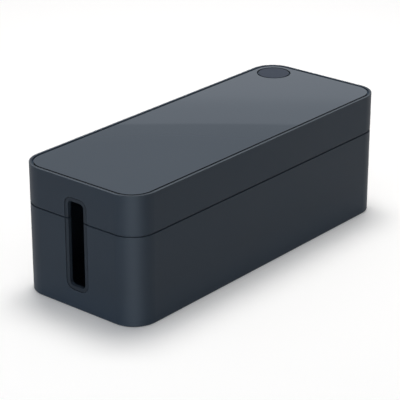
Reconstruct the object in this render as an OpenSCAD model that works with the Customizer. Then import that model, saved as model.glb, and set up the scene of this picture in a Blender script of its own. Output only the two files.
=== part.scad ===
// Cable management box: a deep tub with a lift-off lid, an inlaid top mat, a round
// push-in cap over the cable outlet, lined cable ports at both ends, soft feet, and
// two hook-and-loop ties laced through bridges on the tub's floor.
// Millimetres, +Z up, length along X. The origin is under the box's centre, on the
// surface that the feet stand on.

/* [Box] */
// Outside length
box_length = 406; // [320:1:520]
// Outside width
box_width = 156; // [130:1:220]
// Overall height, from the feet's soles to the rim
box_height = 139; // [115:1:190]
// Outside radius of the upright corners
corner_r = 27.5; // [25:0.5:40]
// Wall thickness of both shells
wall = 2.7; // [2.4:0.1:3.6]
// Thickness of the tub's floor
floor_thick = 2.8; // [2.4:0.1:4]
// Radius round the tub's bottom edge
bottom_edge_r = 1.5; // [0.5:0.1:2]
// Radius inside both shells, where their walls meet the floor and the deck
inner_edge_r = 1.5; // [0.5:0.1:3]

/* [Lid] */
// Height of the lid's skirt, from its lower edge to the rim
lid_height = 41.8; // [34:0.1:60]
// Dark joint between the two shells
seam_gap = 1.2; // [0.4:0.1:1.6]
// Radius along both edges of that joint
seam_edge_r = 0.8; // [0.2:0.1:0.8]
// Height of the tub's register lip above its outer edge
lip_height = 5; // [3:0.1:8]
// Thickness of the register lip
lip_thick = 1.2; // [1:0.1:1.4]
// Sliding clearance between the lip and the lid's skirt
lip_clearance = 0.2; // [0.1:0.05:0.4]
// Thickness of the lid's deck
deck_thick = 2.4; // [2:0.1:4]
// Radius along the rim's outer edge
rim_edge_r = 0.5; // [0.2:0.1:1.2]
// Radius along the rim's inner edge
rim_inner_r = 0.3; // [0.1:0.1:0.6]

/* [Top mat] */
// Thickness of the inlaid mat
mat_thick = 1.8; // [1.4:0.1:3]
// How far the mat's surface lies below the rim
mat_drop = 0.2; // [0:0.1:1]
// Width of the groove between the rim and the mat
mat_groove = 2; // [0.6:0.1:2.4]
// Radius round the mat's upper edges
mat_edge_r = 0.4; // [0.2:0.1:1]
// Thickness of the adhesive film under the mat and the feet
film_thick = 0.2; // [0.1:0.05:0.3]
// How far the film stays back from the mat's edges
film_margin = 1.5; // [1:0.5:3]

/* [Cable outlet] */
// How far the outlet's centre lies inside the centre of the rear right corner
outlet_shift = 0.6; // [0:0.1:5]
// Diameter of the cap's head
cap_dia = 35; // [30:0.5:42]
// Ring gap between the cap's head and the mat
cap_gap = 1.4; // [0.6:0.1:2]
// How far the cap's head overhangs the bore of the bush that it plugs into
cap_overhang = 3.5; // [2.5:0.5:5]
// Wall of the bush
bush_wall = 1.5; // [1:0.1:1.8]
// Thickness of the bush's flange, on which the cap sits
bush_flange = 0.6; // [0.4:0.1:0.8]
// How far the flange's rim stays inside the cap's head
bush_flange_step = 0.5; // [0.2:0.1:1]
// Radial gap of the bush in the deck's hole
bush_fit = 0.1; // [0.05:0.05:0.2]
// How far the bush's lower barb laps the deck
bush_barb = 0.8; // [0.4:0.1:1.2]
// Height of that barb, below the deck
bush_tail = 1.6; // [1:0.1:3]
// Radial clearance of the cap's skirt in the bush
cap_clearance = 0.1; // [0.05:0.05:0.2]
// Length of the cap's skirt below its head
cap_skirt = 9; // [6:0.5:14]
// Wall of the cap's skirt
cap_wall = 1.8; // [1.2:0.1:2.4]
// Radius round the cap's head
cap_edge_r = 0.5; // [0.2:0.1:0.7]

/* [Cable ports] */
// Clear width of a port
port_width = 20.5; // [14:0.5:30]
// How far the clear opening stays below the rim
port_below_rim = 23.3; // [20:0.1:30]
// How far the clear opening starts above the tub's underside
port_above_base = 24.8; // [16:0.1:40]
// Corner radius of the clear opening
port_r = 4.5; // [3:0.5:7]
// Width of the trim's visible face
trim_face = 3.8; // [3:0.1:5]
// Fine joint between the trim and the shell's cutout
trim_gap = 0.6; // [0.2:0.1:1.2]
// How far the trim's face lies behind the shell's face
trim_inset = 0.3; // [0.1:0.1:0.6]
// Radius round the trim's clear opening
trim_edge_r = 0.4; // [0.3:0.1:1.6]
// Thickness of the trim's flange inside the wall
flange_thick = 1.6; // [1:0.1:2.4]
// How far that flange laps the wall round the cutout
flange_lap = 3; // [2:0.5:4]
// How far the register lip stops short of the trim's cutout
lip_setback = 0.4; // [0.2:0.1:1]

/* [Feet] */
// Diameter of a foot
foot_dia = 18; // [12:0.5:24]
// How far the feet stand out below the tub
foot_proud = 0.5; // [0.3:0.1:3]
// Depth of the recess that locates a foot
foot_recess = 0.8; // [0.5:0.1:1]
// Radial gap round a foot in its recess
foot_gap = 0.2; // [0.1:0.1:0.5]
// How far the adhesive disc stays inside the foot's rim
foot_film_step = 0.5; // [0.2:0.1:1]
// Distance from the box's faces to a foot's centre
foot_inset = 34; // [30:1:45]
// Radius round a foot's sole
foot_edge_r = 0.6; // [0.2:0.1:0.8]

/* [Ties] */
// Distance between the two ties
tie_spacing = 190; // [120:5:220]
// Width of a tie
tie_width = 16; // [12:1:20]
// Thickness of a tie
tie_thick = 1.8; // [1.2:0.1:2.2]
// Length of a tie
tie_length = 120; // [90:1:122]
// Radius of a tie's corners
tie_r = 4; // [2:0.5:6]
// Width of the slot through a tie's head
tie_slot = 3; // [2:0.5:3.5]
// Distance from a tie's end to that slot
tie_slot_inset = 6; // [5:0.5:10]
// Clearance of a tie in its bridge, at each side and above
bridge_clearance = 0.8; // [0.4:0.1:2]
// Thickness of the bridge's bar and posts
bridge_thick = 2.4; // [2:0.1:4]
// Depth of the bridge along the tie
bridge_depth = 10; // [6:1:16]

/* [Ribs] */
// Thickness of a stiffening rib
rib_thick = 1.6; // [1.2:0.1:2.4]
// How far the upright ribs stand out from the tub's long walls
rib_proud = 1.2; // [0.8:0.1:2]
// Number of upright ribs on each long wall
wall_ribs = 5; // [3:1:9]
// Height of the ribs under the lid's deck
deck_rib_height = 4; // [2:0.5:8]
// Number of cross ribs under the lid's deck
deck_ribs = 4; // [2:1:8]
// Height of the two rails that a socket strip stands on
rail_height = 1.6; // [1:0.1:3]
// Distance between those rails
rail_spacing = 92; // [80:1:100]

/* [Hidden] */
$fn = 96;
EPS = 0.01; // overlap of fused shapes and overrun of cutters
PAST = 1;   // overrun of cutters that end in open air

// colours
SHELL = [0.20, 0.23, 0.27];
MAT = [0.36, 0.39, 0.42];
TRIM = [0.17, 0.19, 0.23];
SOFT = [0.09, 0.09, 0.10];
FILM = [0.85, 0.84, 0.78];

// heights above the feet's soles
tub_bottom = foot_proud;
floor_top = tub_bottom + floor_thick;
lid_bottom = box_height - lid_height;
tub_top = lid_bottom - seam_gap;
lip_top = tub_top + lip_height;
mat_top = box_height - mat_drop;
mat_bottom = mat_top - mat_thick;
deck_top = mat_bottom - film_thick;
deck_bottom = deck_top - deck_thick;
foot_top = tub_bottom + foot_recess - film_thick;

// the lip is the inner part of the wall, and the lid's skirt is thinned to pass outside it
skirt_thick = wall - lip_thick - lip_clearance;

// plan outline of the mat, measured in from the outer faces
mat_inset = wall + mat_groove;

// the outlet is in the rear right corner
outlet_x = box_length / 2 - corner_r - outlet_shift;
outlet_y = box_width / 2 - corner_r - outlet_shift;
mat_hole_r = cap_dia / 2 + cap_gap;
bush_bore = cap_dia - 2 * cap_overhang;
bush_outer_r = bush_bore / 2 + bush_wall;

// the ports and their linings
port_bottom = tub_bottom + port_above_base;
port_top = box_height - port_below_rim;
port_height = port_top - port_bottom;
port_centre = (port_top + port_bottom) / 2;
cutout_grow = trim_face + trim_gap;
flange_face = wall + flange_thick;

// ---------------------------------------------------------------- shared shapes

// Rectangle with round corners, in plan, centred.
module round_rect(length, width, r) {
    square([length - 2 * r, width], center = true);
    square([length, width - 2 * r], center = true);
    for (x = [-1, 1], y = [-1, 1])
        translate([x * (length / 2 - r), y * (width / 2 - r)]) circle(r);
}

// Sweeps a half profile round a rectangle with round corners. The profile's x is measured
// from the centre of the corner arc, and its y becomes the height.
module sweep_round(length, width, r) {
    straight_x = length - 2 * r;
    straight_y = width - 2 * r;
    for (i = [0:3]) {
        across = i % 2 == 0;
        run = across ? straight_y : straight_x;
        out = across ? straight_x / 2 : straight_y / 2;
        rotate(90 * i)
            translate([out, run / 2, 0]) {
                rotate_extrude(angle = 90) children();
                rotate([90, 0, 0]) linear_extrude(run) children();
            }
    }
}

// Cutter that rounds the lower right corner of a profile, where that corner is the origin.
module corner_cutter(edge) {
    if (edge > 0)
        difference() {
            translate([-edge, -PAST]) square([edge + PAST, edge + PAST]);
            translate([-edge, edge]) circle(edge);
        }
}

// Half profile of a slab from z0 to z1 that reaches r out, its outer edges rounded to
// edge0 below and edge1 above.
module slab_profile(r, z0, z1, edge0, edge1) {
    difference() {
        translate([0, z0]) square([r, z1 - z0]);
        translate([r, z0]) corner_cutter(edge0);
        translate([r, z1]) mirror([0, 1]) corner_cutter(edge1);
    }
}

// Half profile of a cutter that widens an opening of radius r to round its edge at height z.
module flare_profile(r, z, edge) {
    difference() {
        translate([0, z - edge]) square([r + edge, edge + PAST]);
        translate([r + edge, z - edge]) circle(edge);
    }
}

// Slab with the box's own outline taken in by inset, from z0 to z1.
module box_slab(inset, z0, z1, edge0 = 0, edge1 = 0) {
    length = box_length - 2 * inset;
    width = box_width - 2 * inset;
    r = corner_r - inset;
    translate([0, 0, z0])
        linear_extrude(z1 - z0) square([length - 2 * r, width - 2 * r], center = true);
    sweep_round(length, width, r) slab_profile(r, z0, z1, edge0, edge1);
}

// The same slab with sharp edges.
module box_prism(inset, z0, z1) {
    translate([0, 0, z0])
        linear_extrude(z1 - z0)
            round_rect(box_length - 2 * inset, box_width - 2 * inset, corner_r - inset);
}

// Puts shapes drawn in plan onto the left end wall, about the port's centre: their x runs
// up, their y across, and their z out of the wall, from its outer face.
module on_left_end() {
    translate([-box_length / 2, 0, port_centre]) rotate([0, -90, 0]) children();
}

// The port's outline grown by grow, between two depths behind the end wall's outer face.
module port_slot(grow, depth0, depth1) {
    on_left_end()
        translate([0, 0, -depth1])
            linear_extrude(depth1 - depth0)
                round_rect(port_height + 2 * grow, port_width + 2 * grow, port_r + grow);
}

module both_ends() {
    children();
    rotate(180) children();
}

// ---------------------------------------------------------------- tub

module wall_rib() {
    translate([-rib_thick / 2, -box_width / 2 + wall - EPS, floor_top - EPS])
        cube([rib_thick, rib_proud + EPS, tub_top - lip_height - floor_top]);
}

// A bar on two posts, with a gap under it for a tie.
module tie_bridge() {
    gap_width = tie_width + 2 * bridge_clearance;
    gap_height = tie_thick + bridge_clearance;
    outer = gap_width + 2 * bridge_thick;
    translate([0, 0, floor_top])
        difference() {
            translate([-outer / 2, -bridge_depth / 2, -EPS])
                cube([outer, bridge_depth, gap_height + bridge_thick + EPS]);
            translate([-gap_width / 2, -bridge_depth / 2 - PAST, 0])
                cube([gap_width, bridge_depth + 2 * PAST, gap_height]);
        }
}

// Two rails that lift a socket strip clear of the floor, broken where a tie crosses.
module strip_rails() {
    rail_length = box_length - 2 * corner_r - 2 * foot_dia;
    tie_pass = tie_width + 4 * bridge_clearance;
    for (y = [-1, 1])
        difference() {
            translate([-rail_length / 2, (y * rail_spacing - rib_thick) / 2, floor_top - EPS])
                cube([rail_length, rib_thick, rail_height + EPS]);
            for (x = [-1, 1])
                translate([(x * tie_spacing - tie_pass) / 2, -box_width / 2, floor_top])
                    cube([tie_pass, box_width, rail_height + PAST]);
        }
}

// The lip is left out beside each port, where the trims' flanges are.
module lip_break() {
    width = port_width + 2 * cutout_grow + 2 * lip_setback;
    translate([-box_length / 2 - PAST, -width / 2, tub_top])
        cube([PAST + wall + EPS, width, lip_height + PAST]);
}

module base_tub() color(SHELL) {
    rib_pitch = (box_length - 2 * corner_r) / wall_ribs;
    difference() {
        union() {
            box_slab(0, tub_bottom, tub_top, bottom_edge_r, seam_edge_r);
            box_prism(wall - lip_thick, tub_top - PAST, lip_top);
        }
        box_slab(wall, floor_top, lip_top + PAST, inner_edge_r, 0);
        both_ends() {
            port_slot(cutout_grow, -PAST, wall + EPS);
            lip_break();
        }
        for (x = [-1, 1], y = [-1, 1])
            foot_at(x, y)
                translate([0, 0, tub_bottom - PAST])
                    cylinder(r = foot_dia / 2 + foot_gap, h = foot_recess + PAST);
    }
    for (side = [0, 180], i = [0:wall_ribs - 1])
        rotate(side)
            translate([rib_pitch * (i - (wall_ribs - 1) / 2), 0, 0]) wall_rib();
    for (x = [-1, 1])
        translate([x * tie_spacing / 2, 0, 0]) tie_bridge();
    strip_rails();
}

// ---------------------------------------------------------------- lid

module deck_rib() {
    rib_length = box_width - 2 * wall + 2 * EPS;
    translate([-rib_thick / 2, -rib_length / 2, deck_bottom - deck_rib_height])
        cube([rib_thick, rib_length, deck_rib_height + EPS]);
}

// The cross ribs stay clear of the outlet. The shoulder inside the skirt rests on the lip.
module lid_shell() color(SHELL) {
    rib_pitch = 2 * (outlet_x - cap_dia) / (deck_ribs - 1);
    difference() {
        box_slab(0, lid_bottom, box_height, seam_edge_r, rim_edge_r);
        box_prism(wall, deck_top, box_height + PAST);
        sweep_round(box_length - 2 * wall, box_width - 2 * wall, corner_r - wall)
            flare_profile(corner_r - wall, box_height, rim_inner_r);
        box_slab(wall, lid_bottom - PAST, deck_bottom, 0, inner_edge_r);
        box_prism(skirt_thick, lid_bottom - PAST, lip_top);
        both_ends() port_slot(cutout_grow, -PAST, wall + EPS);
        translate([outlet_x, outlet_y, deck_bottom - PAST])
            cylinder(r = bush_outer_r + bush_fit, h = deck_thick + 2 * PAST);
    }
    for (i = [0:deck_ribs - 1])
        translate([rib_pitch * (i - (deck_ribs - 1) / 2), 0, 0]) deck_rib();
}

module top_mat() color(MAT)
    difference() {
        box_slab(mat_inset, mat_bottom, mat_top, 0, mat_edge_r);
        translate([outlet_x, outlet_y, 0]) {
            translate([0, 0, mat_bottom - PAST]) cylinder(r = mat_hole_r, h = mat_thick + 2 * PAST);
            rotate_extrude() flare_profile(mat_hole_r, mat_top, mat_edge_r);
        }
    }

module mat_adhesive() color(FILM)
    difference() {
        box_prism(mat_inset + film_margin, deck_top, mat_bottom);
        translate([outlet_x, outlet_y, deck_top - PAST])
            cylinder(r = mat_hole_r + film_margin, h = film_thick + 2 * PAST);
    }

// ---------------------------------------------------------------- cable outlet

module outlet_bush() color(TRIM)
    translate([outlet_x, outlet_y, 0])
        difference() {
            union() {
                translate([0, 0, deck_top])
                    cylinder(r = cap_dia / 2 - bush_flange_step, h = bush_flange);
                translate([0, 0, deck_bottom - bush_tail])
                    cylinder(r = bush_outer_r, h = bush_tail + deck_thick + EPS);
                translate([0, 0, deck_bottom - bush_tail])
                    cylinder(r = bush_outer_r + bush_barb, h = bush_tail);
            }
            translate([0, 0, deck_bottom - bush_tail - PAST])
                cylinder(r = bush_bore / 2, h = deck_thick + bush_tail + bush_flange + 2 * PAST);
        }

// A shallow cup, open below, whose skirt plugs into the bush.
module outlet_cap() color(SHELL) {
    head_bottom = deck_top + bush_flange;
    skirt_r = bush_bore / 2 - cap_clearance;
    translate([outlet_x, outlet_y, 0])
        rotate_extrude()
            difference() {
                union() {
                    slab_profile(cap_dia / 2, head_bottom, mat_top, 0, cap_edge_r);
                    translate([0, head_bottom - cap_skirt])
                        square([skirt_r, cap_skirt + EPS]);
                }
                translate([-EPS, head_bottom - cap_skirt - PAST])
                    square([skirt_r - cap_wall + EPS, cap_skirt + PAST]);
            }
}

// ---------------------------------------------------------------- port trims

// The left port's lining: a face that fills the cutout, and a flange inside the wall.
module port_lining() {
    difference() {
        union() {
            port_slot(trim_face, trim_inset, flange_face);
            port_slot(cutout_grow + flange_lap, wall, flange_face);
        }
        port_slot(0, -PAST, flange_face + PAST);
        on_left_end()
            sweep_round(port_height, port_width, port_r)
                flare_profile(port_r, -trim_inset, trim_edge_r);
    }
}

module port_trim_lower() color(TRIM)
    intersection() {
        port_lining();
        translate([-box_length, -box_width / 2, 0]) cube([box_length, box_width, tub_top]);
    }

module port_trim_upper() color(TRIM)
    difference() {
        port_lining();
        translate([-box_length, -box_width / 2, 0]) cube([box_length, box_width, lid_bottom]);
        // beside the port, the flange starts above the lip
        for (side = [0, 1])
            mirror([0, side, 0])
                translate([-box_length / 2, port_width / 2 + trim_face, 0])
                    cube([flange_face + PAST, box_width / 2, lip_top + lip_clearance]);
    }

// ---------------------------------------------------------------- feet

module foot_at(x, y) {
    translate([x * (box_length / 2 - foot_inset), y * (box_width / 2 - foot_inset), 0])
        children();
}

module foot(x, y) color(SOFT)
    foot_at(x, y) rotate_extrude() slab_profile(foot_dia / 2, 0, foot_top, foot_edge_r, 0);

module foot_film(x, y) color(FILM)
    foot_at(x, y)
        translate([0, 0, foot_top])
            cylinder(r = foot_dia / 2 - foot_film_step, h = film_thick);

// ---------------------------------------------------------------- ties

// A strap lying across the floor, under its bridge, with a slot through its head.
module cable_tie(x) color(SOFT)
    translate([x * tie_spacing / 2, 0, floor_top])
        linear_extrude(tie_thick)
            difference() {
                round_rect(tie_width, tie_length, tie_r);
                translate([0, x * (tie_length / 2 - tie_slot_inset)])
                    square([tie_width - 2 * tie_r, tie_slot], center = true);
            }

// ---------------------------------------------------------------- assembly

base_tub();
lid_shell();
top_mat();
mat_adhesive();
outlet_bush();
outlet_cap();
port_trim_lower();  // port_trim_lower_left
rotate(180) port_trim_lower();  // port_trim_lower_right
port_trim_upper();  // port_trim_upper_left
rotate(180) port_trim_upper();  // port_trim_upper_right
foot(-1, -1);  // foot_front_left
foot(1, -1);  // foot_front_right
foot(-1, 1);  // foot_rear_left
foot(1, 1);  // foot_rear_right
foot_film(-1, -1);  // foot_film_front_left
foot_film(1, -1);  // foot_film_front_right
foot_film(-1, 1);  // foot_film_rear_left
foot_film(1, 1);  // foot_film_rear_right
cable_tie(-1);  // cable_tie_left
cable_tie(1);  // cable_tie_right
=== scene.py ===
import math

import bmesh
import bpy
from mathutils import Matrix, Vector, noise


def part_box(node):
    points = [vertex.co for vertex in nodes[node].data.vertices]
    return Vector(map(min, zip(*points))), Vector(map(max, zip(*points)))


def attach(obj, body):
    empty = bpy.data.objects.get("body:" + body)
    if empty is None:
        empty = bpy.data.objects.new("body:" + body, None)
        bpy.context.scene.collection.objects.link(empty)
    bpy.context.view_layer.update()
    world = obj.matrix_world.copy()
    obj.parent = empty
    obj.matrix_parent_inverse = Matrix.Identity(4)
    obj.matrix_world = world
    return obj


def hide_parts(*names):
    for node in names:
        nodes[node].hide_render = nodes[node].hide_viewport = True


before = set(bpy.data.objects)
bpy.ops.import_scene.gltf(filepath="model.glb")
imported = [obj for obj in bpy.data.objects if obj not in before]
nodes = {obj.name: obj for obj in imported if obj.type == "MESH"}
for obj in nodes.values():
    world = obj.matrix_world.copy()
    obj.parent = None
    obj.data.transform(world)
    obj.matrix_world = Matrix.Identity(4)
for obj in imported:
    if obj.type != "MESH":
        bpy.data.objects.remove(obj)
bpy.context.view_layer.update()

# Camera. A long lens above the lid looks down at the near corner, with the left end to its
# left and the long front to its right.
CAMERA_PLACE = (-1.3034, -1.0779, 0.7696)
CAMERA_AZIMUTH = math.radians(-50.09)
CAMERA_ELEVATION = math.radians(22.97)
CAMERA_SENSOR = 36
CAMERA_LENS = 155.46
camera_back = Vector((
    math.sin(CAMERA_AZIMUTH) * math.cos(CAMERA_ELEVATION),
    -math.cos(CAMERA_AZIMUTH) * math.cos(CAMERA_ELEVATION),
    math.sin(CAMERA_ELEVATION),
))
camera_data = bpy.data.cameras.new("camera")
camera_data.sensor_width = CAMERA_SENSOR
camera_data.lens = CAMERA_LENS
camera = bpy.data.objects.new("camera", camera_data)
camera.location = CAMERA_PLACE
camera.rotation_mode = "QUATERNION"
camera.rotation_quaternion = (-camera_back).to_track_quat("-Z", "Y")
bpy.context.scene.collection.objects.link(camera)
bpy.context.scene.camera = camera

# Tub. The deep lower shell, moulded in one shot with its ribs, rails and tie bridges in an
# anthracite plastic. The outside is spark-eroded to a fine satin grain, and is painted a little
# paler and mottled towards the floor, as painted light against the shade low down. The inside is
# drawn-polished upright, and its floor shows the ejector pins' rings.
SHELL_COLOUR = (0.0111, 0.0182, 0.0274)
SHELL_ROUGHNESS = 0.56
SHELL_SPECULAR = 0.1
SHELL_COAT = 0.03
SHELL_SHEEN = 0.08
COAT_ROUGHNESS = 0.3
SHEEN_ROUGHNESS = 0.5
WALL = 0.0027
OUTLINE_RADIUS = 0.0275
CORNER_REACH = 0.4
SPECKLE_RANGE = (0.3, 0.7)
SPARK_PITCH = 0.0004
SPARK_RELIEF = 0.000006
SPARK_TONE = (0.94, 1.06)
FLOW_SCALE = 14.0
FLOW_TONE = (0.97, 1.03)
FLOW_ROUGHNESS = (-0.02, 0.02)
DRAWN_SCALE = 1800.0
DRAWN_STRETCH = 0.03
DRAWN_RANGE = (0.35, 0.65)
DRAWN_ROUGHNESS = (-0.16, -0.06)
DRAWN_RELIEF = 0.4
CORE_TONE = 2.6
CORE_FROM = (0.8 * WALL, 0.9 * WALL)
PIN_RADIUS = 0.004
PIN_SPACING = (0.058, 0.05)
PIN_STEP = 0.0002
PIN_RELIEF = 9.0
LOW_LIGHT_WITHIN = (0.45 * WALL, 0.55 * WALL)
LOW_LIGHT_HEIGHT = 0.038
LOW_LIGHT_TONE = 0.34
LOW_LIGHT_SCALE = 45.0
LOW_LIGHT_MOTTLE = (0.9, 1.1)
shell_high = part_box("base_tub")[1]
tub_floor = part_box("cable_tie_left")[0][2]


def add(tree, kind, settings=None, **inputs):
    """Adds a shader node. An input is named by its label, or as in0, in1 by its place, and is
    given a value or another node's output."""
    node = tree.nodes.new(kind)
    for key, value in (settings or {}).items():
        setattr(node, key, value)
    for key, value in inputs.items():
        socket = node.inputs[int(key[2:]) if key.startswith("in") else key.replace("_", " ")]
        if isinstance(value, bpy.types.NodeSocket):
            tree.links.new(value, socket)
        else:
            socket.default_value = value
    return node


def combine(tree, operation, first, second):
    """One number from two."""
    return add(tree, "ShaderNodeMath", {"operation": operation}, in0=first, in1=second).outputs[0]


def measure(tree, operation, *vectors):
    """A length from a vector, or a vector from one or more."""
    inputs = {f"in{index}": vector for index, vector in enumerate(vectors)}
    node = add(tree, "ShaderNodeVectorMath", {"operation": operation}, **inputs)
    return node.outputs["Value" if operation == "LENGTH" else "Vector"]


def ease(tree, value, low, high, start=0.0, end=1.0):
    """A number that goes from start to end as another goes from low to high."""
    return add(tree, "ShaderNodeMapRange", in0=value, in1=low, in2=high, in3=start, in4=end).outputs[0]


def fade(tree, share, start, end):
    """A number that goes from start to end as a share goes from 0 to 1."""
    return ease(tree, share, 0.0, 1.0, start, end)


def speckle(tree, place, scale, detail=2.0):
    """Even noise, about 0.5."""
    node = add(tree, "ShaderNodeTexNoise", Vector=place, Scale=scale, Detail=detail, Roughness=0.5)
    return node.outputs[0]


def mottle(tree, speckles, start, end):
    """A number that wanders from start to end with a noise."""
    return ease(tree, speckles, *SPECKLE_RANGE, start, end)


def place_on(tree):
    """The point on the piece, in the box's own frame."""
    return add(tree, "ShaderNodeTexCoord").outputs["Object"]


def along(tree, vector, axis):
    """A vector's size along X, Y or Z."""
    return add(tree, "ShaderNodeSeparateXYZ", Vector=vector).outputs[axis]


def facing_up(tree):
    """1 where a surface looks straight up, and 0 where it stands upright."""
    return along(tree, add(tree, "ShaderNodeTexCoord").outputs["Normal"], "Z")


def group_of(name, inputs, outputs):
    """A node group with these number inputs and number outputs."""
    group = bpy.data.node_groups.new(name, "ShaderNodeTree")
    for label, value in inputs.items():
        socket = group.interface.new_socket(label, in_out="INPUT", socket_type="NodeSocketFloat")
        socket.default_value = value
    for label in outputs:
        group.interface.new_socket(label, in_out="OUTPUT", socket_type="NodeSocketFloat")
    return group, group.nodes.new("NodeGroupInput"), group.nodes.new("NodeGroupOutput")


def finish_of(name, inputs):
    """A node group for a finish: its tone, its roughness and the height of its relief."""
    return group_of(name, inputs, ("Tone", "Roughness", "Height"))


def outline_depth():
    """How far a point lies inside the box's outer walls, how high it is, and how far round an
    upright corner it is, from 0 on a straight run to 1 at the corner's middle."""
    tree, _, end = group_of("outline_depth", {}, ("Depth", "Height", "Corner"))
    place = place_on(tree)
    straight = (shell_high[0] - OUTLINE_RADIUS, shell_high[1] - OUTLINE_RADIUS, 1)
    past = measure(tree, "SUBTRACT", measure(tree, "ABSOLUTE", place), straight)
    past_x = along(tree, past, "X")
    past_y = along(tree, past, "Y")
    round_part = measure(tree, "LENGTH", measure(tree, "MAXIMUM", past, (0, 0, 0)))
    flat_part = combine(tree, "MINIMUM", combine(tree, "MAXIMUM", past_x, past_y), 0.0)
    reach = combine(tree, "ADD", round_part, flat_part)
    round_by = combine(tree, "MINIMUM", past_x, past_y)
    tree.links.new(combine(tree, "SUBTRACT", OUTLINE_RADIUS, reach), end.inputs["Depth"])
    tree.links.new(ease(tree, round_by, 0.0, CORNER_REACH * OUTLINE_RADIUS), end.inputs["Corner"])
    tree.links.new(along(tree, place, "Z"), end.inputs["Height"])
    return tree


OUTLINE_DEPTH = outline_depth()


def spark_finish():
    """Spark-eroded grain, over the broad unevenness that the melt's flow leaves. Core is 1 where
    the drawn polish of the core side takes the grain's place."""
    tree, start, end = finish_of(
        "spark_finish", {"Pitch": SPARK_PITCH, "Roughness": SHELL_ROUGHNESS, "Core": 0.0, "Marks": 0.0})
    core = start.outputs["Core"]
    place = place_on(tree)
    grain = speckle(tree, place, combine(tree, "DIVIDE", 1.0, start.outputs["Pitch"]))
    flow = speckle(tree, place, FLOW_SCALE, detail=3.0)
    upright = add(tree, "ShaderNodeMapping", Vector=place, Scale=(1, 1, DRAWN_STRETCH)).outputs[0]
    drawn = speckle(tree, upright, DRAWN_SCALE)
    tone = combine(tree, "MULTIPLY", mottle(tree, flow, *FLOW_TONE), mottle(tree, grain, *SPARK_TONE))
    tone = combine(tree, "MULTIPLY", tone, fade(tree, core, 1.0, CORE_TONE))
    polish = combine(tree, "MULTIPLY", core, ease(tree, drawn, *DRAWN_RANGE, *DRAWN_ROUGHNESS))
    rough = combine(tree, "ADD", start.outputs["Roughness"], mottle(tree, flow, *FLOW_ROUGHNESS))
    relief = add(tree, "ShaderNodeMix", in0=core, in2=grain,
                 in3=combine(tree, "MULTIPLY", drawn, DRAWN_RELIEF)).outputs[0]
    tree.links.new(tone, end.inputs["Tone"])
    tree.links.new(combine(tree, "ADD", rough, polish), end.inputs["Roughness"])
    tree.links.new(combine(tree, "ADD", relief, start.outputs["Marks"]), end.inputs["Height"])
    return tree


SPARK_FINISH = spark_finish()


def surface(name, colour, finish_group, relief, finish_inputs, shader_inputs):
    """A material whose colour, roughness and bump come from a finish group."""
    material = bpy.data.materials.new(name)
    material.use_nodes = True
    tree = material.node_tree
    shader = tree.nodes["Principled BSDF"]
    finish = add(tree, "ShaderNodeGroup", {"node_tree": finish_group, "name": "finish"}, **finish_inputs)
    toned = add(tree, "ShaderNodeVectorMath", {"operation": "SCALE", "name": "toned"},
                in0=colour, Scale=finish.outputs["Tone"])
    bump = add(tree, "ShaderNodeBump", Distance=relief, Strength=1.0, Height=finish.outputs["Height"])
    tree.links.new(toned.outputs[0], shader.inputs["Base Color"])
    tree.links.new(finish.outputs["Roughness"], shader.inputs["Roughness"])
    tree.links.new(bump.outputs[0], shader.inputs["Normal"])
    for label, value in shader_inputs.items():
        shader.inputs[label].default_value = value
    return material


def moulded(name, colour, roughness, specular, coat=0.0, sheen=0.0):
    """Spark-finished plastic."""
    return surface(name, colour, SPARK_FINISH, SPARK_RELIEF,
                   {"Pitch": SPARK_PITCH, "Roughness": roughness},
                   {"Specular IOR Level": specular, "Coat Weight": coat, "Coat Roughness": COAT_ROUGHNESS,
                    "Sheen Weight": sheen, "Sheen Roughness": SHEEN_ROUGHNESS})


def shade(tree, amount):
    """Makes a material's tone lighter or darker by a factor."""
    tone = combine(tree, "MULTIPLY", tree.nodes["finish"].outputs["Tone"], amount)
    tree.links.new(tone, tree.nodes["toned"].inputs["Scale"])


def core_side(material, pins):
    """Gives a shell's inside the core's finish, and the tub's floor the rings of the ejector pins.
    The core's finish starts behind the register lip's outer face."""
    tree = material.node_tree
    finish = tree.nodes["finish"]
    where = add(tree, "ShaderNodeGroup", {"node_tree": OUTLINE_DEPTH})
    core = ease(tree, where.outputs["Depth"], *CORE_FROM)
    tree.links.new(core, finish.inputs["Core"])
    if pins:
        half = [spacing / 2 for spacing in PIN_SPACING] + [1]
        cell = measure(tree, "WRAP", place_on(tree), half, [-size for size in half])
        distance = measure(tree, "LENGTH", measure(tree, "MULTIPLY", cell, (1, 1, 0)))
        ring = ease(tree, distance, PIN_RADIUS - PIN_STEP, PIN_RADIUS + PIN_STEP, 0.0, PIN_RELIEF)
        above_floor = combine(tree, "SUBTRACT", where.outputs["Height"], tub_floor)
        on_floor = ease(tree, above_floor, PIN_STEP, 2 * PIN_STEP, 1.0, 0.0)
        marks = combine(tree, "MULTIPLY", combine(tree, "MULTIPLY", ring, on_floor), core)
        tree.links.new(marks, finish.inputs["Marks"])
    return where


tub_plastic = moulded("tub_plastic", SHELL_COLOUR, SHELL_ROUGHNESS, SHELL_SPECULAR,
                      coat=SHELL_COAT, sheen=SHELL_SHEEN)
where = core_side(tub_plastic, pins=True)
tree = tub_plastic.node_tree
# Painted light: the outer wall is painted paler over its lowest few centimetres, mottled a little, in
# place of light that the shaded floor doesn't give it.
outside = ease(tree, where.outputs["Depth"], *LOW_LIGHT_WITHIN, 1.0, 0.0)
low_light_fade = ease(tree, where.outputs["Height"], 0.0, LOW_LIGHT_HEIGHT, LOW_LIGHT_TONE, 0.0)
dust_and_low_light = combine(tree, "MULTIPLY", outside, low_light_fade)
low_light_mottle = mottle(tree, speckle(tree, place_on(tree), LOW_LIGHT_SCALE, detail=4.0), *LOW_LIGHT_MOTTLE)
shade(tree, combine(tree, "ADD", combine(tree, "MULTIPLY", dust_and_low_light, low_light_mottle), 1.0))
nodes["base_tub"].data.materials[0] = tub_plastic
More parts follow.
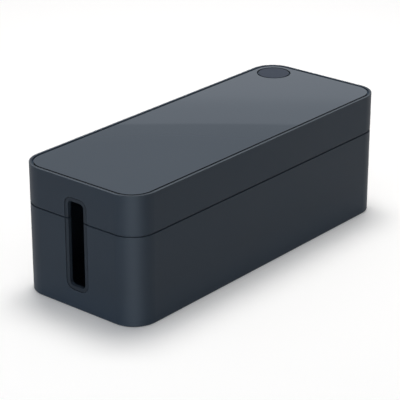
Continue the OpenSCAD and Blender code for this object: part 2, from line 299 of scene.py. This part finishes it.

# Lid shell. The same plastic from a second mould. Its rim is a narrow land that was polished
# when the mould's two halves were matched. Its outer edge is rougher, and is painted paler as a
# painted highlight, less so round the upright corners.
RIM_HIGHLIGHT_COLOUR = (0.073, 0.0865, 0.1006)
RIM_EDGE = 0.0004
RIM_STEP = 0.0001
RIM_LEVEL = (0.85, 0.98)
RIM_HIGHLIGHT_WITHIN = (0.0012, 0.0018)
RIM_INNER = (WALL - 0.0005, WALL - 0.0002)
RIM_COAT = 0.4
RIM_SCUFFED = 0.4
RIM_HIGHLIGHT_CORNER = 0.55
rim_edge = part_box("lid_shell")[1][2] - RIM_EDGE
lid_plastic = moulded("lid_plastic", SHELL_COLOUR, SHELL_ROUGHNESS, SHELL_SPECULAR, sheen=SHELL_SHEEN)
where = core_side(lid_plastic, pins=False)
tree = lid_plastic.node_tree
shader = tree.nodes["Principled BSDF"]
near_top = ease(tree, where.outputs["Height"], rim_edge - RIM_STEP, rim_edge + RIM_STEP)
level = combine(tree, "MULTIPLY", near_top, ease(tree, facing_up(tree), *RIM_LEVEL))
land = combine(tree, "MULTIPLY", level, ease(tree, where.outputs["Depth"], *RIM_INNER, 1.0, 0.0))
tree.links.new(fade(tree, land, SHELL_COAT, RIM_COAT), shader.inputs["Coat Weight"])
# Painted highlight: the rim's outer edge is painted paler, less so round the upright corners, and is made
# rougher.
painted_rim_highlight = combine(tree, "MULTIPLY", near_top, ease(tree, where.outputs["Depth"], *RIM_HIGHLIGHT_WITHIN, 1.0, 0.0))
painted_rim_highlight = combine(tree, "MULTIPLY", painted_rim_highlight, fade(tree, where.outputs["Corner"], 1.0, RIM_HIGHLIGHT_CORNER))
rim_highlight_tone = add(tree, "ShaderNodeVectorMath", {"operation": "SCALE"}, in0=RIM_HIGHLIGHT_COLOUR,
               Scale=tree.nodes["finish"].outputs["Tone"]).outputs[0]
rim_highlight_mix = add(tree, "ShaderNodeMix", {"data_type": "VECTOR"}, in0=painted_rim_highlight, in4=tree.nodes["toned"].outputs[0],
              in5=rim_highlight_tone)
tree.links.new(rim_highlight_mix.outputs[1], shader.inputs["Base Color"])
scuffed = combine(tree, "MULTIPLY", painted_rim_highlight, RIM_SCUFFED)
rim_rough = combine(tree, "ADD", tree.nodes["finish"].outputs["Roughness"], scuffed)
tree.links.new(rim_rough, shader.inputs["Roughness"])
nodes["lid_shell"].data.materials[0] = lid_plastic

# Top mat. A sheet of smooth, glossy rubber, die-cut and stuck down inside the rim. The cut edge is
# dull, and is painted nearly black as painted shade in the groove round the mat, a little less
# dark just under the top face.
MAT_COLOUR = (0.0482, 0.0639, 0.0826)
MAT_SKIN = 0.00015
MAT_SKIN_END = (0.8, 1.2)
MAT_LEVEL = (0.3, 0.8)
MAT_GROOVE_SHADE = 0.03
MAT_EDGE_SHADE = 0.55
MAT_CLOUD_SCALE = 9.0
MAT_CLOUD_TONE = (0.985, 1.015)
MAT_CLOUD_ROUGHNESS = (0.008, 0.02)
MAT_EDGE_ROUGHNESS = 0.8
MAT_CALENDER_SCALE = 1600.0
MAT_CALENDER_RELIEF = 0.00000003
MAT_SPECULAR = 0.5
mat_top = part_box("top_mat")[1][2]


def sheet_finish():
    """Buffed sheet: nearly a mirror, a little uneven, with a dull cut edge painted dark as groove shade.
    """
    tree, start, end = finish_of("sheet_finish", {"Skin": MAT_SKIN})
    place = place_on(tree)
    depth = combine(tree, "SUBTRACT", mat_top, along(tree, place, "Z"))
    skin = ease(tree, combine(tree, "DIVIDE", depth, start.outputs["Skin"]), *MAT_SKIN_END, 1.0, 0.0)
    cloud = speckle(tree, place, MAT_CLOUD_SCALE, detail=3.0)
    top = combine(tree, "MULTIPLY", skin, ease(tree, facing_up(tree), *MAT_LEVEL))
    edge = combine(tree, "SUBTRACT", 1.0, top)
    # Painted shade: below the top face the cut edge is painted nearly black, as shade down in the groove.
    tone = combine(tree, "MAXIMUM", top, fade(tree, skin, MAT_GROOVE_SHADE, MAT_EDGE_SHADE))
    tone = combine(tree, "MULTIPLY", tone, mottle(tree, cloud, *MAT_CLOUD_TONE))
    rough = combine(tree, "ADD", mottle(tree, cloud, *MAT_CLOUD_ROUGHNESS),
                    combine(tree, "MULTIPLY", edge, MAT_EDGE_ROUGHNESS))
    tree.links.new(tone, end.inputs["Tone"])
    tree.links.new(rough, end.inputs["Roughness"])
    tree.links.new(speckle(tree, place, MAT_CALENDER_SCALE), end.inputs["Height"])
    return tree


nodes["top_mat"].data.materials[0] = surface(
    "mat_rubber", MAT_COLOUR, sheet_finish(), MAT_CALENDER_RELIEF, {"Skin": MAT_SKIN},
    {"Specular IOR Level": MAT_SPECULAR})

# Adhesive films. One sheet under the mat and a disc under each foot, of pale acrylic on a
# carrier, with the fine bubbles that are left when such a film is rolled down.
FILM_COLOUR = (0.56, 0.53, 0.44)
FILM_BUBBLE = 0.0009
FILM_BUBBLE_EDGE = (0.12, 0.3)
FILM_BUBBLE_TONE = 1.12
FILM_BUBBLE_RELIEF = 0.00002
FILM_CLOUD_SCALE = 120.0
FILM_CLOUD_TONE = (0.94, 1.05)
FILM_ROUGHNESS = (0.3, 0.42)
FILM_SPECULAR = 0.4


def film_finish():
    """Rolled-down film with fine bubbles."""
    tree, start, end = finish_of("film_finish", {"Bubble": FILM_BUBBLE})
    place = place_on(tree)
    size = combine(tree, "DIVIDE", 1.0, start.outputs["Bubble"])
    bubbles = add(tree, "ShaderNodeTexVoronoi", Vector=place, Scale=size).outputs["Distance"]
    cloud = speckle(tree, place, FILM_CLOUD_SCALE, detail=3.0)
    ring = ease(tree, bubbles, *FILM_BUBBLE_EDGE)
    tone = combine(tree, "MULTIPLY", fade(tree, ring, FILM_BUBBLE_TONE, 1.0),
                   mottle(tree, cloud, *FILM_CLOUD_TONE))
    tree.links.new(tone, end.inputs["Tone"])
    tree.links.new(mottle(tree, cloud, *FILM_ROUGHNESS), end.inputs["Roughness"])
    tree.links.new(ring, end.inputs["Height"])
    return tree


acrylic_film = surface("acrylic_film", FILM_COLOUR, film_finish(), FILM_BUBBLE_RELIEF,
                       {"Bubble": FILM_BUBBLE}, {"Specular IOR Level": FILM_SPECULAR})
for name in nodes:
    if name == "mat_adhesive" or name.startswith("foot_film"):
        nodes[name].data.materials[0] = acrylic_film

# Port trims. Four narrow frames in a slightly darker moulding, pressed into the two halves of
# each cable port so that no lead rubs on a cut wall. Their satin face lies just inside the wall's.
# The sleeve behind it is painted paler as painted light inside the port, and its upward-facing
# sill paler still, as painted light falling on it.
TRIM_COLOUR = (0.0145, 0.0195, 0.0262)
TRIM_ROUGHNESS = 0.48
TRIM_SPECULAR = 0.06
TRIM_COAT = 0.03
SLEEVE_LIGHT_FROM = (0.0006, 0.0014)
SLEEVE_LIGHT_TONE = 1.5
SILL_LIGHT_LEVEL = (0.5, 0.9)
SILL_LIGHT_FROM = (0.0003, 0.0008)
SILL_LIGHT_TONE = 2.2
trim_plastic = moulded("trim_plastic", TRIM_COLOUR, TRIM_ROUGHNESS, TRIM_SPECULAR, coat=TRIM_COAT)
tree = trim_plastic.node_tree
where = add(tree, "ShaderNodeGroup", {"node_tree": OUTLINE_DEPTH})
# Painted light: the sleeve inside the port is painted paler, and the parts of it that face up paler still.
painted_sleeve_light = ease(tree, where.outputs["Depth"], *SLEEVE_LIGHT_FROM, 1.0, SLEEVE_LIGHT_TONE)
painted_sill_light = combine(tree, "MULTIPLY", ease(tree, facing_up(tree), *SILL_LIGHT_LEVEL),
               ease(tree, where.outputs["Depth"], *SILL_LIGHT_FROM))
shade(tree, combine(tree, "MULTIPLY", painted_sleeve_light, fade(tree, painted_sill_light, 1.0, SILL_LIGHT_TONE)))
for name in nodes:
    if name.startswith("port_trim"):
        nodes[name].data.materials[0] = trim_plastic

# Outlet bush. A flanged sleeve, snapped into the deck before the mat goes on. It is moulded in
# the trims' plastic, and its bore is polished, so that the cap slides in and out.
BORE_RADIUS = 0.014
BORE_EDGE = (BORE_RADIUS + 0.0003, BORE_RADIUS + 0.0005)


def middle_of(node):
    """The upright line through a node's middle."""
    low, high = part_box(node)
    return (low[0] + high[0]) / 2, (low[1] + high[1]) / 2, 0


def around(tree, place, centre):
    """A point's distance from an upright line."""
    offset = measure(tree, "SUBTRACT", place, centre)
    return measure(tree, "LENGTH", measure(tree, "MULTIPLY", offset, (1, 1, 0)))


bush_plastic = moulded("bush_plastic", TRIM_COLOUR, TRIM_ROUGHNESS, TRIM_SPECULAR, coat=TRIM_COAT)
tree = bush_plastic.node_tree
bore = ease(tree, around(tree, place_on(tree), middle_of("outlet_bush")), *BORE_EDGE, 1.0, 0.0)
tree.links.new(bore, tree.nodes["finish"].inputs["Core"])
nodes["outlet_bush"].data.materials[0] = bush_plastic

# Outlet cap. A shallow round button on a plain skirt, in a softer, slightly violet black. Its
# head is spark-finished, and everything below the head's edge is dull, and painted darker as
# painted shade in the ring gap round the cap.
CAP_COLOUR = (0.0318, 0.0413, 0.0605)
CAP_ROUGHNESS = 0.45
CAP_SPECULAR = 0.15
CAP_HEAD = 0.0003
CAP_STEP = 0.0001
SKIRT_ROUGHNESS = 0.8
SKIRT_SHADE_TONE = 0.15
cap_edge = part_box("outlet_cap")[1][2] - CAP_HEAD
cap_plastic = moulded("cap_plastic", CAP_COLOUR, CAP_ROUGHNESS, CAP_SPECULAR)
tree = cap_plastic.node_tree
skirt = ease(tree, along(tree, place_on(tree), "Z"), cap_edge, cap_edge + CAP_STEP, 1.0, 0.0)
tree.links.new(fade(tree, skirt, CAP_ROUGHNESS, SKIRT_ROUGHNESS), tree.nodes["finish"].inputs["Roughness"])
# Painted shade: below the head's edge the cap is painted darker, as shade in the gap round it.
shade(tree, fade(tree, skirt, 1.0, SKIRT_SHADE_TONE))
nodes["outlet_cap"].data.materials[0] = cap_plastic

# Feet. Four soft rubber discs, each stuck in its recess. The sole is moulded with fine rings that
# grip, and rubber of this kind picks up a little pale dust.
FOOT_COLOUR = (0.013, 0.0135, 0.0145)
FOOT_RING = 0.0013
FOOT_RING_TONE = 0.2
FOOT_RELIEF = 0.00012
FOOT_DUST_SCALE = 900.0
FOOT_DUST_RANGE = (0.45, 0.75)
FOOT_DUST_TONE = (0.9, 1.7)
FOOT_GRAIN_SCALE = 4000.0
FOOT_GRAIN_RELIEF = 0.1
FOOT_ROUGHNESS = (0.78, 0.92)
FOOT_SPECULAR = 0.3


def wave(tree, distance, pitch):
    """A number that swings from 0 to 1 and back over each pitch."""
    turns = combine(tree, "DIVIDE", combine(tree, "MULTIPLY", distance, math.tau), pitch)
    return ease(tree, add(tree, "ShaderNodeMath", {"operation": "SINE"}, in0=turns).outputs[0], -1.0, 1.0)


def rubber_finish():
    """Grip rings about each foot's middle, with a dusty mottle."""
    tree, start, end = finish_of("rubber_finish", {"Ring": FOOT_RING})
    place = place_on(tree)
    radius = around(tree, measure(tree, "ABSOLUTE", place), middle_of("foot_rear_right"))
    ring = wave(tree, radius, start.outputs["Ring"])
    dust_and_low_light = speckle(tree, place, FOOT_DUST_SCALE, detail=4.0)
    grain = speckle(tree, place, FOOT_GRAIN_SCALE)
    tone = combine(tree, "ADD", ease(tree, dust_and_low_light, *FOOT_DUST_RANGE, *FOOT_DUST_TONE),
                   combine(tree, "MULTIPLY", ring, FOOT_RING_TONE))
    relief = combine(tree, "ADD", ring, combine(tree, "MULTIPLY", grain, FOOT_GRAIN_RELIEF))
    tree.links.new(tone, end.inputs["Tone"])
    tree.links.new(mottle(tree, dust_and_low_light, *FOOT_ROUGHNESS), end.inputs["Roughness"])
    tree.links.new(relief, end.inputs["Height"])
    return tree


foot_rubber = surface("foot_rubber", FOOT_COLOUR, rubber_finish(), FOOT_RELIEF, {"Ring": FOOT_RING},
                      {"Specular IOR Level": FOOT_SPECULAR})
for name in nodes:
    if name.startswith("foot") and not name.startswith("foot_film"):
        nodes[name].data.materials[0] = foot_rubber

# Cable ties. Two hook-and-loop straps, cut hot from tape so that their edges are sealed thin, each
# with a slot through its head for the tail. Each is laced under its bridge on the tub's floor,
# and its free ends stand up a little, as new tape does.
TIE_COLOUR = (0.0105, 0.0105, 0.0115)
TIE_SPECULAR = 0.2
TIE_SHEEN = 0.12
TIE_SHEEN_ROUGHNESS = 0.4
TIE_WALE = 0.0011
TIE_LOOP_SCALE = 2600.0
TIE_FIBRE_SCALE = 5200.0
TIE_PILE_PARTS = (0.3, 0.5)
TIE_PILE_RANGE = (0.3, 0.9)
TIE_PILE_TONE = (0.55, 2.1)
TIE_ROUGHNESS = (0.8, 0.95)
TIE_RELIEF = 0.00018
TIE_CORNER = 0.004
TIE_SLOT_LENGTH = 0.008
TIE_SLOT_WIDTH = 0.003
TIE_SLOT_INSET = 0.006
TIE_THICK = 0.0015
TIE_SEAL = 0.0012
TIE_SEALED = 0.5
TIE_HELD = 0.016
TIE_TAIL_LIFT = 0.0026
TIE_TAIL_TWIST = 0.3
TIE_HEAD_LIFT = 0.0010
TIE_STEP = 0.0005
TIE_TUFTS = (1100, 300)
TIE_TUFT_HEIGHT = 0.00011
slot_r = TIE_SLOT_WIDTH / 2
slot_x = TIE_SLOT_LENGTH / 2 - slot_r


def inside_by(x, y, half_x, half_y, radius):
    """How far a point lies inside a rounded rectangle about the origin."""
    past_x, past_y = abs(x) - half_x + radius, abs(y) - half_y + radius
    return radius - math.hypot(max(past_x, 0), max(past_y, 0)) - min(max(past_x, past_y), 0)


def tape_finish():
    """Loop pile: wales along the tape, broken up by the loops, lighter at their tips."""
    tree, start, end = finish_of("tape_finish", {"Wale": TIE_WALE})
    place = add(tree, "ShaderNodeUVMap", {"uv_map": "tape"}).outputs[0]
    wale = wave(tree, along(tree, place, "X"), start.outputs["Wale"])
    loops = add(tree, "ShaderNodeTexVoronoi", Vector=place, Scale=TIE_LOOP_SCALE).outputs["Distance"]
    fibre = speckle(tree, place, TIE_FIBRE_SCALE, detail=3.0)
    height = combine(tree, "ADD", combine(tree, "MULTIPLY", wale, TIE_PILE_PARTS[0]),
                     combine(tree, "MULTIPLY", combine(tree, "ADD", loops, fibre), TIE_PILE_PARTS[1]))
    tree.links.new(ease(tree, height, *TIE_PILE_RANGE, *TIE_PILE_TONE), end.inputs["Tone"])
    tree.links.new(mottle(tree, fibre, *TIE_ROUGHNESS), end.inputs["Roughness"])
    tree.links.new(height, end.inputs["Height"])
    return tree


tape = surface("tape", TIE_COLOUR, tape_finish(), TIE_RELIEF, {"Wale": TIE_WALE},
               {"Specular IOR Level": TIE_SPECULAR, "Sheen Weight": TIE_SHEEN,
                "Sheen Roughness": TIE_SHEEN_ROUGHNESS})


def from_slot(x, y, slot_y):
    """The way to a point from the nearest point of the slot's middle line."""
    return Vector((x - max(-slot_x, min(slot_x, x)), y - slot_y, 0))


def tape_blank(half_x, half_y, slot_y):
    """A flat grid, with its ends rounded and its slot cut out."""
    blank = bmesh.new()
    bmesh.ops.create_grid(blank, x_segments=round(2 * half_x / TIE_STEP),
                          y_segments=round(2 * half_y / TIE_STEP), size=1)
    bmesh.ops.scale(blank, vec=(half_x, half_y, 1), verts=blank.verts)
    for vert in blank.verts:
        past = abs(vert.co.y) - half_y + TIE_CORNER
        if past > 0:
            vert.co.x *= (half_x - TIE_CORNER + math.sqrt(max(TIE_CORNER ** 2 - past ** 2, 0))) / half_x
    slot = []
    for face in blank.faces:
        middle = face.calc_center_median()
        if from_slot(middle.x, middle.y, slot_y).length < slot_r:
            slot.append(face)
    bmesh.ops.delete(blank, geom=slot, context="FACES")
    for vert in blank.verts:
        away = from_slot(vert.co.x, vert.co.y, slot_y)
        if vert.is_boundary and away.length < slot_r + 2 * TIE_STEP:
            vert.co += away.normalized() * slot_r - away
    return blank


def strap(name, node, seed):
    """One tie, over the solid that stands for it. The blank gets its thickness, and is then
    thinned at its sealed edges, bent up at its ends and roughened into pile."""
    low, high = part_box(node)
    half_x = (high[0] - low[0]) / 2
    half_y = (high[1] - low[1]) / 2
    centre = Vector(((high[0] + low[0]) / 2, 0, low[2]))
    head = math.copysign(1, centre.x)
    slot_y = head * (half_y - TIE_SLOT_INSET)
    shape = tape_blank(half_x, half_y, slot_y)
    layer = shape.loops.layers.uv.new("tape")
    bmesh.ops.solidify(shape, geom=shape.faces, thickness=TIE_THICK)
    lowest = min(vert.co.z for vert in shape.verts)
    for vert in shape.verts:
        x, y = vert.co.x, vert.co.y
        from_edge = min(inside_by(x, y, half_x, half_y, TIE_CORNER),
                        from_slot(x, y, slot_y).length - slot_r)
        full = TIE_SEALED + (1 - TIE_SEALED) * math.sqrt(min(max(from_edge, 0) / TIE_SEAL, 1))
        pile = sum(noise.noise(Vector((x * tufts, y * tufts, seed))) for tufts in TIE_TUFTS)
        free = max(abs(y) - TIE_HELD, 0) / (half_y - TIE_HELD)
        if y * head > 0:
            lift = TIE_HEAD_LIFT * math.sin(free * math.pi / 2) ** 2
        else:
            lift = TIE_TAIL_LIFT * free ** 2 * (1 + TIE_TAIL_TWIST * x / half_x)
        up = (vert.co.z - lowest) / TIE_THICK
        vert.co.z = lift + up * (TIE_THICK + TIE_TUFT_HEIGHT * pile) * full
    for face in shape.faces:
        face.smooth = True
        for loop in face.loops:
            loop[layer].uv = (loop.vert.co.x, loop.vert.co.y)
    bmesh.ops.translate(shape, vec=centre, verts=shape.verts)
    bmesh.ops.recalc_face_normals(shape, faces=shape.faces)
    mesh = bpy.data.meshes.new(name)
    shape.to_mesh(mesh)
    shape.free()
    mesh.materials.append(tape)
    piece = bpy.data.objects.new(name, mesh)
    bpy.context.scene.collection.objects.link(piece)
    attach(piece, "tub")
    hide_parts(node)


strap("strap_left", "cable_tie_left", seed=3.1)
strap("strap_right", "cable_tie_right", seed=8.7)

# Floor. A wide sheet of matt white paper, stretched flat under the box. Its own faint glow is
# only for the lens and for mirrors, and lights nothing.
FLOOR_HALF = 30
PAPER_COLOUR = (0.92, 0.90, 0.875, 1)
PAPER_ROUGHNESS = 0.9
PAPER_GLOW = 0.12
floor_mesh = bpy.data.meshes.new("floor")
shape = bmesh.new()
bmesh.ops.create_grid(shape, x_segments=1, y_segments=1, size=FLOOR_HALF)
shape.to_mesh(floor_mesh)
shape.free()
floor = bpy.data.objects.new("floor", floor_mesh)
bpy.context.scene.collection.objects.link(floor)
paper = bpy.data.materials.new("paper")
paper.use_nodes = True
tree = paper.node_tree
shader = tree.nodes["Principled BSDF"]
shader.inputs["Base Color"].default_value = PAPER_COLOUR
shader.inputs["Roughness"].default_value = PAPER_ROUGHNESS
shader.inputs["Specular IOR Level"].default_value = 0.0
shader.inputs["Emission Color"].default_value = (1, 1, 1, 1)
path = add(tree, "ShaderNodeLightPath")
seen = combine(tree, "MAXIMUM", path.outputs["Is Camera Ray"], path.outputs["Is Glossy Ray"])
seen = combine(tree, "MAXIMUM", seen, path.outputs["Is Transmission Ray"])
tree.links.new(combine(tree, "MULTIPLY", seen, PAPER_GLOW), shader.inputs["Emission Strength"])
floor_mesh.materials.append(paper)

# Lamps. One soft panel high behind the box gives the shadow, and two low ones light the near
# sides. A long low strip shows only as the soft light on the upright corners.
DAYLIGHT = (0.85, 1.0, 1.16)
SIDE_DAYLIGHT = (0.88, 1.02, 1.19)


def softbox(name, azimuth, elevation, distance, width, height, power, colour=(1, 1, 1)):
    """A panel that faces the box."""
    turn, rise = math.radians(azimuth), math.radians(elevation)
    towards = Vector((math.cos(turn) * math.cos(rise), math.sin(turn) * math.cos(rise), math.sin(rise)))
    data = bpy.data.lights.new(name, "AREA")
    data.shape = "RECTANGLE"
    data.size = width
    data.size_y = height
    data.energy = power
    data.color = colour
    lamp = bpy.data.objects.new(name, data)
    lamp.location = towards * distance
    lamp.rotation_mode = "QUATERNION"
    lamp.rotation_quaternion = towards.to_track_quat("Z", "Y")
    lamp.visible_camera = False
    bpy.context.scene.collection.objects.link(lamp)
    return lamp


overhead = softbox("overhead", 39, 79, distance=2.2, width=0.9, height=0.9, power=32.5)
overhead.visible_glossy = False
frontal = softbox("frontal", 232, 6, distance=2.4, width=2.0, height=0.8, power=5, colour=DAYLIGHT)
frontal.visible_glossy = False
softbox("side", 172, 5, distance=2.4, width=1.4, height=0.4, power=14.5, colour=SIDE_DAYLIGHT)
strip = softbox("corner_strip", 219, 1, distance=4.0, width=3.5, height=0.13, power=480, colour=DAYLIGHT)
strip.visible_diffuse = False

# Room. A pale studio, a step darker above the height at which the mat reflects it. Heights are
# the upward part of the view direction, and each stop is a place on its ramp and a grey level.
LOW_HEIGHTS = (0.26, 0.35)
LOW_STOPS = ((0.0, 0.78), (1.0, 0.487), (0.60, 0.652), (0.783, 0.613), (0.822, 0.597), (0.867, 0.52),
             (0.906, 0.493))
LOW_TINT = (0.96, 1.0, 1.065)
STEP_HEIGHTS = (0.3489, 0.3496)
HIGH_STOPS = ((0.35, 0.345), (1.0, 0.33), (0.36, 0.312), (0.44, 0.375), (0.6, 0.32))
HIGH_TINT = (0.97, 1.0, 1.05)
world = bpy.data.worlds.new("studio")
bpy.context.scene.world = world
world.use_nodes = True
tree = world.node_tree
tree.nodes.clear()
upward = along(tree, add(tree, "ShaderNodeTexCoord").outputs["Generated"], "Z")


def sky_part(tree, height, levels, tint):
    """A grey ramp, a little blue."""
    ramp = add(tree, "ShaderNodeValToRGB", Fac=height)
    stops = ramp.color_ramp.elements
    for index, (position, level) in enumerate(levels):
        stop = stops[index] if index < 2 else stops.new(position)
        stop.position = position
        stop.color = (level * tint[0], level * tint[1], level * tint[2], 1)
    return ramp.outputs[0]


low_part = sky_part(tree, ease(tree, upward, *LOW_HEIGHTS), LOW_STOPS, LOW_TINT)
high_part = sky_part(tree, upward, HIGH_STOPS, HIGH_TINT)
sky_colour = add(tree, "ShaderNodeMix", {"data_type": "RGBA"}, in0=ease(tree, upward, *STEP_HEIGHTS),
                 in6=low_part, in7=high_part).outputs[2]
sky = add(tree, "ShaderNodeBackground", Color=sky_colour)
world_output = add(tree, "ShaderNodeOutputWorld")
tree.links.new(sky.outputs[0], world_output.inputs["Surface"])

bpy.context.scene.view_settings.view_transform = "Standard"
